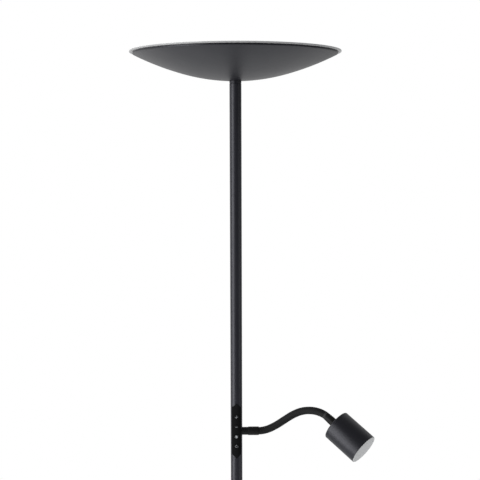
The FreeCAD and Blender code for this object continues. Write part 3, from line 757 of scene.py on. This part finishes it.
class LAMP_OT_bowl(Operator):
    """Models the spun bowl and the collar below it, which leaves a narrow shadow gap above the pole"""
    bl_idname = "lamp.bowl"
    bl_label = "Bowl"

    def execute(self, context):
        settings = shape_settings()
        low, high = corners("uplight_bowl")
        inner = corners("top_nipple")[1][0]
        outline = bowl_outline(settings, high[0], high[2], low[2], inner + BOWL_HOLE_PLAY)
        turned_piece("bowl_shell", outline, "coat", "uplight_bowl", steps=2 * settings.round_steps, sharp=40)
        low, high = corners("top_collar")
        recess = high[0] - SHADOW_DEPTH
        collar = rounded([(inner, low[2], 0), (recess, low[2], 0), (recess, low[2] + SHADOW_GAP, 0),
                          (high[0], low[2] + SHADOW_GAP, COLLAR_EDGE), (high[0], high[2], COLLAR_EDGE),
                          (inner, high[2], 0)])
        turned_piece("bowl_collar", collar, "tube_coat_painted_light", "top_collar")
        return {"FINISHED"}


def dome(radius, height, base, steps=40):
    """Points from the edge to the crown of a shallow dome, part of the circle through both."""
    curve = (radius ** 2 + height ** 2) / (2 * height)
    across = np.linspace(radius, 0, steps)
    return np.column_stack([across, base + height - curve + np.sqrt(curve ** 2 - across ** 2)])


class LAMP_OT_diffuser(Operator):
    """Models the opal disc with its crown, locating ring and three sockets"""
    bl_idname = "lamp.diffuser"
    bl_label = "Diffuser"

    def execute(self, context):
        settings = shape_settings()
        low, high = corners("uplight_diffuser")
        rim_radius, base = corners("uplight_bowl")[1][[0, 2]]
        top = base + settings.disc_thickness
        radius = high[0]
        crown = high[2] - top
        flat = settings.disc_flat
        ring_outer = rim_radius - settings.bowl_wall - LOCATING_GAP
        ring_inner = ring_outer - LOCATING_WIDTH
        ring_low = base - LOCATING_DEPTH
        edge = rounded([
            (ring_inner, base, 0), (ring_inner, ring_low, LOCATING_EDGE),
            (ring_outer, ring_low, LOCATING_EDGE), (ring_outer, base, 0),
            (radius, base, DISC_EDGE), (radius, top, DISC_EDGE), (flat, top, 0)])
        outline = np.vstack([dome(flat, crown, base)[::-1], edge, dome(flat, crown, top)[1:]])
        shapes = [lathe(outline, 2 * settings.round_steps)]
        reach = np.linalg.norm(node_points("diffuser_posts")[:, :2], axis=1)
        circle = (reach.max() + reach.min()) / 2
        inside = (reach.max() - reach.min()) / 2 + POST_PLAY
        sunk = base + POST_SOCKET_SINK
        tube = rounded([(inside, sunk, 0), (inside, low[2], POST_SOCKET_MOUTH_EDGE),
                        (POST_SOCKET_RADIUS, low[2], POST_SOCKET_EDGE), (POST_SOCKET_RADIUS, sunk, 0)])
        for turn in np.radians(POST_TURNS):
            shapes.append(moved(lathe(tube, 40), (circle * math.cos(turn), circle * math.sin(turn), 0)))
        make_piece("opal_disc", joined(*shapes), "opal_sheet", BODY, ("uplight_diffuser",))
        return {"FINISHED"}


# Pole

TUBE_EDGE = 0.3 * MM
TUBE_TOP_EDGE = 0.6 * MM
WINDOW_HALF_WIDTH = 5.0 * MM
WINDOW_HALF_HEIGHT = 31 * MM
WINDOW_CELLS = 8


def windowed_tube(outer, inner, low, high, window, segments=96):
    """A tube with a window in its front: an angle by height grid, outside and inside, without the faces over
    the window."""
    half_turn = math.asin(WINDOW_HALF_WIDTH / outer)
    front = -math.pi / 2
    turns = np.concatenate([
        np.linspace(front - half_turn, front + half_turn, WINDOW_CELLS + 1),
        np.linspace(front + half_turn, front - half_turn + 2 * math.pi, segments + 1)[1:-1],
    ])
    heights = np.array([low, low + TUBE_EDGE, *window, high - TUBE_TOP_EDGE, high])
    radii = np.array([outer - TUBE_EDGE, outer, outer, outer, outer, outer - TUBE_TOP_EDGE])
    level = np.column_stack([np.cos(turns), np.sin(turns), 0 * turns])
    lift = heights[:, None, None] * np.array([0, 0, 1.0])
    skins = [(reach * level + lift).reshape(-1, 3) for reach in (radii[:, None, None], inner)]
    faces = grid_faces(len(heights), len(turns))
    row, column = np.divmod(faces[:, 0], len(turns))
    return thickened(*skins, faces[~((row == 2) & (column < WINDOW_CELLS))])


class LAMP_OT_pole(Operator):
    """Models the pole's three tubes, the upper one with the window for the control board"""
    bl_idname = "lamp.pole"
    bl_label = "Pole"

    def execute(self, context):
        inner = corners("pole_inserts")[1][0]
        for node, name in (("pole_lower", "tube_lower"), ("pole_middle", "tube_middle")):
            low, high = corners(node)
            outline = section(inner, high[0], low[2], high[2], TUBE_EDGE, TUBE_EDGE, steps=4)
            turned_piece(name, outline, "tube_coat_painted_light", node)
        low, high = corners("pole_upper")
        middle = sum(corner[2] for corner in corners("control_fascia")) / 2
        window = (middle - WINDOW_HALF_HEIGHT, middle + WINDOW_HALF_HEIGHT)
        shape = windowed_tube(high[0], inner, low[2], high[2], window)
        make_piece("tube_upper", shape, "tube_coat_painted_light", BODY, ("pole_upper",))
        return {"FINISHED"}


# Control strip

PRINT_THICKNESS = 0.05 * MM

# Parts of a symbol as shares of its width
STROKE = 0.08
POWER_RING = 0.44
POWER_BAR = 0.5
POWER_BAR_HEIGHT = 0.33
LAMP_DISC = 0.28
RAY_CIRCLE = 0.42
RAY_LENGTH = 0.2
RAY_WIDTH = 1.8 * STROKE


def plate(rows, radius, thickness):
    """A printed mark: a grid of (x, z) points laid on the buttons' curve, y = -sqrt(R squared - x squared),
    and given a thickness across it."""
    x, z = rows[..., 0], rows[..., 1]
    skins = [np.stack([x, -np.sqrt(reach ** 2 - x ** 2), z], axis=-1).reshape(-1, 3)
             for reach in (radius + thickness, radius - thickness)]
    return thickened(*skins, grid_faces(*x.shape, wrap_columns=False))


def bar_rows(width, height, centre=(0.0, 0.0), turn=0.0, steps=6):
    """A rectangle round a centre, turned about the symbol's middle: two rows of points across its width, so
    that it can follow the buttons' curve."""
    across = np.linspace(-width, width, steps) / 2
    rows = np.stack([np.column_stack([across, 0 * across + side * height / 2]) for side in (-1, 1)])
    cosine, sine = math.cos(math.radians(turn)), math.sin(math.radians(turn))
    return (rows + centre) @ [[cosine, sine], [-sine, cosine]]


def ring_rows(outer, inner, start, end, steps=28):
    """Part of a ring as two rows of points, from one angle to another."""
    return np.stack([arc((0, 0), outer, start, end, steps), arc((0, 0), inner, start, end, steps)])


def disc_rows(radius, steps=24):
    return np.stack([arc((0, 0), radius, 0, 180, steps), arc((0, 0), radius, 0, -180, steps)])


def symbol_rows(kind, size):
    """The patches of points that make up each button's symbol."""
    stroke = STROKE * size
    if kind == "plus":
        return [bar_rows(size, stroke), bar_rows(stroke, size)]
    if kind == "minus":
        return [bar_rows(size, stroke)]
    if kind == "power":
        ring = POWER_RING * size
        return [ring_rows(ring, ring - stroke, 125, 415),
                bar_rows(stroke, POWER_BAR * size, (0, POWER_BAR_HEIGHT * size))]
    ray = (RAY_LENGTH * size, RAY_WIDTH * size, (RAY_CIRCLE * size, 0.0))
    return [disc_rows(LAMP_DISC * size)] + [bar_rows(*ray, turn) for turn in range(0, 360, 45)]


class LAMP_OT_control_strip(Operator):
    """Dresses the control strip and its four buttons, and prints a symbol on each button"""
    bl_idname = "lamp.control_strip"
    bl_label = "Control strip"

    def execute(self, context):
        size = shape_settings().symbol_size
        dress("moulding", "control_fascia")
        for kind in BUTTONS:
            node = f"button_{kind}"
            dress("button", node)
            low, high = corners(node)
            patches = [plate(rows, -low[1], PRINT_THICKNESS) for rows in symbol_rows(kind, size)]
            symbol = moved(joined(*patches), (0, 0, (low[2] + high[2]) / 2))
            make_piece(f"symbol_{kind}", symbol, "print", node)
        return {"FINISHED"}


# Bendable neck

SLEEVE_RADIUS = 5.1 * MM
BOSS_DEPTH = 1.5 * MM
BOSS_EDGE = 0.3 * MM
FERRULE_EDGE = 0.5 * MM
FERRULE_STEPS = 64
TIP_MOUTH_RADIUS = 5.15 * MM
TIP_TAPER = 8.0 * MM
TIP_TAPER_ROUNDING = 6.0 * MM
TIP_GAP = 0.2 * MM


def arc_through(start, heading, end, steps):
    """Points and headings of the arc that leaves a point with a heading and passes another point.
    Point = start + R (sin a heading + (1 - cos a) normal), with R = chord / (2 sin(turn / 2))."""
    chord = end - start
    reach = np.linalg.norm(chord)
    level = chord / reach
    half = angle_between(level, heading)
    if half < 1e-5:
        share = np.linspace(0, 1, steps)[:, None]
        return start + share * chord, np.tile(level, (steps, 1))
    normal = unit(level - (level @ heading) * heading)
    radius = reach / (2 * math.sin(half))
    turn = np.linspace(0, 2 * half, steps)[:, None]
    points = start + radius * (np.sin(turn) * heading + (1 - np.cos(turn)) * normal)
    return points, np.cos(turn) * heading + np.sin(turn) * normal


def neck_line(cells=28):
    """The neck's centre line from the root ferrule to the tip ferrule, arc by arc between the pivots: points,
    headings and the number of cells in each arc."""
    back, axis = head_frame()
    tip = back + axis * min(reach_along("tip_ferrule", back, axis)[0])
    points = [np.array([[corners("root_ferrule")[1][0], 0.0, ARM_HEIGHT]])]
    headings = [np.array([[1.0, 0.0, 0.0]])]
    for stop in [joint_place(name) for name in NECK_JOINTS] + [tip]:
        line, ways = arc_through(points[-1][-1], headings[-1][-1], stop, cells + 1)
        points.append(line[1:])
        headings.append(ways[1:])
    return np.vstack(points), np.vstack(headings), cells


def tube_along(points, headings, radius, segments=48):
    """A closed round bar: circles square to the line, C + r (cos a side + sin a up), with flat ends."""
    turn = np.linspace(0, 2 * math.pi, segments, endpoint=False)[:, None]
    side = unit(np.cross([0, 0, 1.0], headings))
    up = np.cross(headings, side)
    circles = points[:, None] + radius * (np.cos(turn) * side[:, None] + np.sin(turn) * up[:, None])
    caps = [np.repeat(points[:1], segments, 0), circles.reshape(-1, 3), np.repeat(points[-1:], segments, 0)]
    return facing_out(np.vstack(caps), grid_faces(len(points) + 2, segments))


class LAMP_OT_neck(Operator):
    """Models the neck's boss, its two ferrules and the smooth sleeve, in one stretch round each pivot"""
    bl_idname = "lamp.neck"
    bl_label = "Neck"

    def execute(self, context):
        self.add_ferrules()
        self.add_sleeves()
        return {"FINISHED"}

    def add_ferrules(self):
        """Turned rings on the neck's two ends, and the boss on the pole."""
        root = (np.array([0.0, 0.0, ARM_HEIGHT]), np.array([1.0, 0.0, 0.0]))
        low, high = corners("neck_socket")
        radius = (high[2] - low[2]) / 2
        inside = POLE_RADIUS - BOSS_DEPTH
        boss = section(0, radius, inside, high[0], 0.0, BOSS_EDGE)
        turned_piece("neck_boss", boss, "fitting", "neck_socket", steps=FERRULE_STEPS, axis=root)
        start = high[0]
        low, high = corners("root_ferrule")
        radius = (high[2] - low[2]) / 2
        ring = section(0, radius, start, high[0], FERRULE_EDGE, FERRULE_EDGE)
        turned_piece("root_ring", ring, "fitting", "root_ferrule", steps=FERRULE_STEPS, axis=root)
        back, axis = head_frame()
        reach, across = reach_along("tip_ferrule", back, axis)
        start = reach.min()
        radius = across.max()
        tip = rounded([
            (0, start, 0), (TIP_MOUTH_RADIUS, start, 0), (radius, start + TIP_TAPER, TIP_TAPER_ROUNDING),
            (radius, TIP_GAP, 0), (0, TIP_GAP, 0)])
        turned_piece("tip_ring", tip, "fitting", "tip_ferrule", HEAD_BODY, steps=FERRULE_STEPS,
                     axis=(back, axis))

    def add_sleeves(self):
        """One stretch of sleeve for each pivot, from the middle of one link to the middle of the next."""
        points, headings, cells = neck_line()
        middles = [0] + [cells * number + cells // 2 for number in LINKS] + [len(points) - 1]
        replaced = [("root_core",)] + [(f"link_sleeve_{number}",) for number in LINKS]
        replaced.append(("tip_sleeve", "tip_core"))
        for number, (first, second) in enumerate(zip(middles, middles[1:])):
            stretch = slice(first, second + 1)
            shape = tube_along(points[stretch], headings[stretch], SLEEVE_RADIUS)
            piece = make_piece(f"neck_sleeve_{number + 1}", shape, "sleeve")
            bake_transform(piece)
            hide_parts(*replaced[number])


# Reading head

SHELL_WALL = 1.6 * MM
SHELL_BACK_WALL = 2.0 * MM
SHELL_BACK_EDGE = 1.6 * MM
SHELL_FRONT_EDGE = 0.15 * MM
SHELL_INNER_EDGE = 0.4 * MM
SHELL_BORE = 2.95 * MM
FACE_INSET = 0.4 * MM
FACE_SEAT = 1.5 * MM
FACE_EDGE = 0.65 * MM


class LAMP_OT_reading_head(Operator):
    """Models the head's turned shell and its opal face, and dresses what is inside"""
    bl_idname = "lamp.reading_head"
    bl_label = "Reading head"

    def execute(self, context):
        back, axis = head_frame()
        reach, across = reach_along("head_shell", back, axis)
        radius = across.max()
        length = reach.max()
        inner = radius - SHELL_WALL
        seat = radius - FACE_INSET
        shell = rounded([
            (SHELL_BORE, 0, 0), (radius, 0, SHELL_BACK_EDGE), (radius, length, SHELL_FRONT_EDGE),
            (seat, length, 0), (seat, length - FACE_SEAT, 0), (inner, length - FACE_SEAT, 0),
            (inner, SHELL_BACK_WALL, SHELL_INNER_EDGE), (SHELL_BORE, SHELL_BACK_WALL, 0)], steps=8)
        turned_piece("head_body", shell, "coat", "head_shell", HEAD_BODY, axis=(back, axis))
        reach = reach_along("head_face", back, axis)[0]
        face = section(0, seat, reach.min(), reach.max(), 0.0, FACE_EDGE, steps=8)
        turned_piece("head_opal", face, "opal", "head_face", HEAD_BODY, axis=(back, axis))
        dress("aluminium", "head_heat_sink")
        dress("white_board", "head_light_board")
        dress("chip", "head_lights")
        dress("reflector", "head_reflector")
        return {"FINISHED"}


# Base and inner parts

FOOT_RING_EDGE = 2.0 * MM
FOOT_RING_SMALL_EDGE = 0.3 * MM


class LAMP_OT_base(Operator):
    """Models the ring at the pole's foot, and dresses the base"""
    bl_idname = "lamp.base"
    bl_label = "Base"

    def execute(self, context):
        low, high = corners("foot_ring")
        ring = section(POLE_RADIUS, high[0], low[2], high[2], FOOT_RING_SMALL_EDGE, FOOT_RING_EDGE,
                       FOOT_RING_SMALL_EDGE, steps=8)
        turned_piece("foot_cover_ring", ring, "coat", "foot_ring")
        dress("coat", "base_cover")
        dress("casting", "base_weight")
        dress("foam", "base_pad")
        dress("rubber", "cord_grommet")
        dress("zinc", "base_nipple")
        dress("nylon", "terminal_block")
        return {"FINISHED"}


class LAMP_OT_inner_parts(Operator):
    """Dresses the fittings, wires, boards and lights inside the lamp"""
    bl_idname = "lamp.inner_parts"
    bl_label = "Inner parts"

    def execute(self, context):
        dress("zinc", "pole_inserts", "pole_studs", "top_nipple", "thread_nuts", "thread_washers",
              "plate_pillars", "plate_screws")
        dress("jacket", "inner_lead", "light_wire")
        dress("board", "control_board")
        dress("nylon", "tact_switches", "light_driver", "diffuser_posts")
        dress("white_board", "uplight_board")
        dress("chip", "uplight_lights")
        dress("aluminium", "spreader_plate")
        dress("nylon_core", *(f"link_core_{number}" for number in LINKS))
        return {"FINISHED"}


STEPS = (LAMP_OT_stage, LAMP_OT_bowl, LAMP_OT_diffuser, LAMP_OT_pole, LAMP_OT_control_strip, LAMP_OT_neck,
         LAMP_OT_reading_head, LAMP_OT_base, LAMP_OT_inner_parts)
GROUPS = (("lamp_colours", LampColours), ("lamp_shape", LampShape), ("lamp_stage", LampStage))


class LAMP_PT_panel(Panel):
    """Lists the lamp's settings and the steps that build it"""
    bl_idname = "LAMP_PT_panel"
    bl_label = "Torchiere lamp"
    bl_space_type = "VIEW_3D"
    bl_region_type = "UI"
    bl_category = "Lamp"

    def draw(self, context):
        for name, group in GROUPS:
            settings = getattr(context.scene, name)
            for key in group.__annotations__:
                self.layout.prop(settings, key)
        for step in STEPS:
            self.layout.operator(step.bl_idname)


def register():
    for name, group in GROUPS:
        bpy.utils.register_class(group)
        setattr(bpy.types.Scene, name, PointerProperty(type=group))
    for step in STEPS:
        bpy.utils.register_class(step)
    bpy.utils.register_class(LAMP_PT_panel)


def unregister():
    bpy.utils.unregister_class(LAMP_PT_panel)
    for step in reversed(STEPS):
        bpy.utils.unregister_class(step)
    for name, group in reversed(GROUPS):
        delattr(bpy.types.Scene, name)
        bpy.utils.unregister_class(group)


def main():
    register()
    FINISHES.update(make_finishes(bpy.context.scene.lamp_colours))
    bpy.context.scene.view_settings.view_transform = "Standard"
    bpy.ops.lamp.stage()
    bpy.ops.lamp.bowl()
    bpy.ops.lamp.diffuser()
    bpy.ops.lamp.pole()
    bpy.ops.lamp.control_strip()
    bpy.ops.lamp.neck()
    bpy.ops.lamp.reading_head()
    bpy.ops.lamp.base()
    bpy.ops.lamp.inner_parts()


if __name__ == "__main__":
    main()
